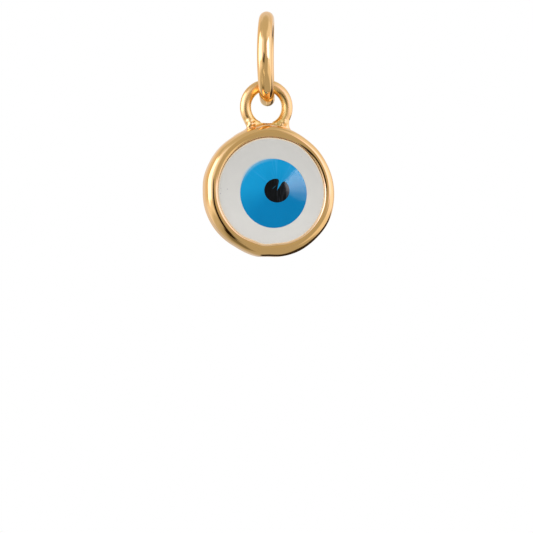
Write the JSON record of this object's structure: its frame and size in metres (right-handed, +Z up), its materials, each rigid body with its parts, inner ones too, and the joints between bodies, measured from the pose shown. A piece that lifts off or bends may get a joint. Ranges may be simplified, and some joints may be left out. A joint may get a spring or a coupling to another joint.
{
  "type": "evil eye pendant",
  "caption": "Round gold bezel charm with a layered blue evil eye stone, hung by its soldered loop from a plain jump ring.",
  "frame": {"origin": "inner top of the jump ring, where a chain bears", "axes": "+X along the chain and the jump ring's axis, -Y towards the viewer of the stone, +Z up"},
  "size_m": [0.0084, 0.006, 0.0156],
  "materials": {
    "gold": "polished gold plating",
    "white": "glossy cast resin",
    "blue": "glossy cast resin",
    "black": "glossy cast resin"
  },
  "bodies": {
    "ring": {"jump_ring": "gold"},
    "drop": {"bezel_cup": "gold", "eye_white": "white", "iris": "blue", "pupil": "black"}
  },
  "joints": [
    {"name": "drop_swing", "type": "hinge", "parent": "ring", "child": "drop", "pos_m": [0, 0, -0.00462], "axis": [0, 1, 0], "range_deg": [-120, 120]}
  ]
}
